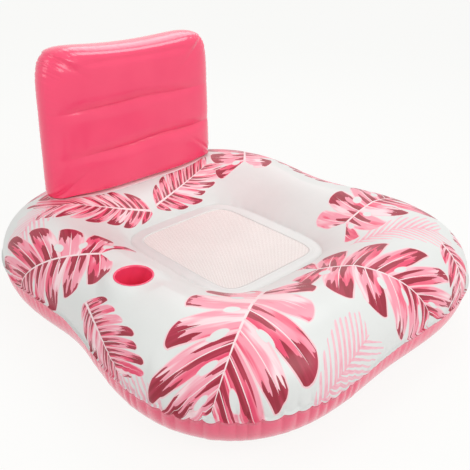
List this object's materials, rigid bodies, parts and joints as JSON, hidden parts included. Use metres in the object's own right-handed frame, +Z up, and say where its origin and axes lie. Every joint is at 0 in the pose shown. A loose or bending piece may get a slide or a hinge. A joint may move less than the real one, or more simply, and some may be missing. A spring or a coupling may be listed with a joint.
{
  "type": "inflatable pool chair",
  "caption": "Inflatable pool chair: a lobed air ring with a net seat, a cup holder in one arm and an upright air-cushion backrest that flexes at its foot.",
  "frame": {"origin": "on the floor, under the middle of the chair's bounding box", "axes": "+Z up, -Y towards the front that the sitter faces, +X towards the sitter's left arm"},
  "size_m": [0.9558, 1.075, 0.5797],
  "materials": {
    "printed_white_vinyl": "soft gloss, near-white with a printed leaf pattern in pinks",
    "pink_vinyl": "soft gloss hot pink",
    "deep_pink_vinyl": "soft gloss deep pink",
    "valve_vinyl": "soft moulded vinyl, translucent off-white",
    "seat_net_fabric": "open woven net, pale beige and white",
    "seat_band_vinyl": "plain white vinyl"
  },
  "bodies": {
    "ring": {"ring_top_sheet": "printed_white_vinyl", "ring_bottom_sheet": "pink_vinyl", "seat_weld_strip": "seat_band_vinyl", "seat_net": "seat_net_fabric", "cup_rim": "printed_white_vinyl", "cup_well": "deep_pink_vinyl", "cup_floor": "deep_pink_vinyl", "backrest_foot_strip": "seat_band_vinyl", "ring_valve_flange": "valve_vinyl"},
    "ring_stem": {"ring_valve_stem": "valve_vinyl"},
    "ring_cap": {"ring_valve_cap": "valve_vinyl", "ring_valve_tether": "valve_vinyl"},
    "ring_flap": {"ring_valve_flap": "valve_vinyl"},
    "backrest": {"backrest_front_sheet": "pink_vinyl", "backrest_rear_sheet": "pink_vinyl", "backrest_web_1": "pink_vinyl", "backrest_web_2": "pink_vinyl", "backrest_valve_flange": "valve_vinyl"},
    "backrest_stem": {"backrest_valve_stem": "valve_vinyl"},
    "backrest_cap": {"backrest_valve_cap": "valve_vinyl", "backrest_valve_tether": "valve_vinyl"},
    "backrest_flap": {"backrest_valve_flap": "valve_vinyl"}
  },
  "joints": [
    {"name": "backrest_flex", "type": "hinge", "parent": "ring", "child": "backrest", "pos_m": [0, 0.34707, 0.26624], "axis": [1, 0, 0], "range_deg": [-15, 15], "stiffness_Nm_per_rad": 40},
    {"name": "ring_stem_slide", "type": "slide", "parent": "ring", "child": "ring_stem", "axis": [0.0262, 0.7347, 0.6779], "range_m": [0, 0.012]},
    {"name": "ring_cap_pull", "type": "slide", "parent": "ring_stem", "child": "ring_cap", "axis": [0.0262, 0.7347, 0.6779], "range_m": [0, 0.012]},
    {"name": "ring_flap_hinge", "type": "hinge", "parent": "ring_stem", "child": "ring_flap", "pos_m": [0.04466, 0.49157, 0.16363], "axis": [-0.0242, -0.6774, 0.7352], "range_deg": [0, 45], "stiffness_Nm_per_rad": 0.0005},
    {"name": "backrest_stem_slide", "type": "slide", "parent": "backrest", "child": "backrest_stem", "axis": [0.0617, 0.9981, -0.0025], "range_m": [0, 0.012]},
    {"name": "backrest_cap_pull", "type": "slide", "parent": "backrest_stem", "child": "backrest_cap", "axis": [0.0617, 0.9981, -0.0025], "range_m": [0, 0.012]},
    {"name": "backrest_flap_hinge", "type": "hinge", "parent": "backrest_stem", "child": "backrest_flap", "pos_m": [0.16809, 0.38781, 0.37083], "axis": [0.0001, 0.0025, 1], "range_deg": [0, 45], "stiffness_Nm_per_rad": 0.0005}
  ]
}
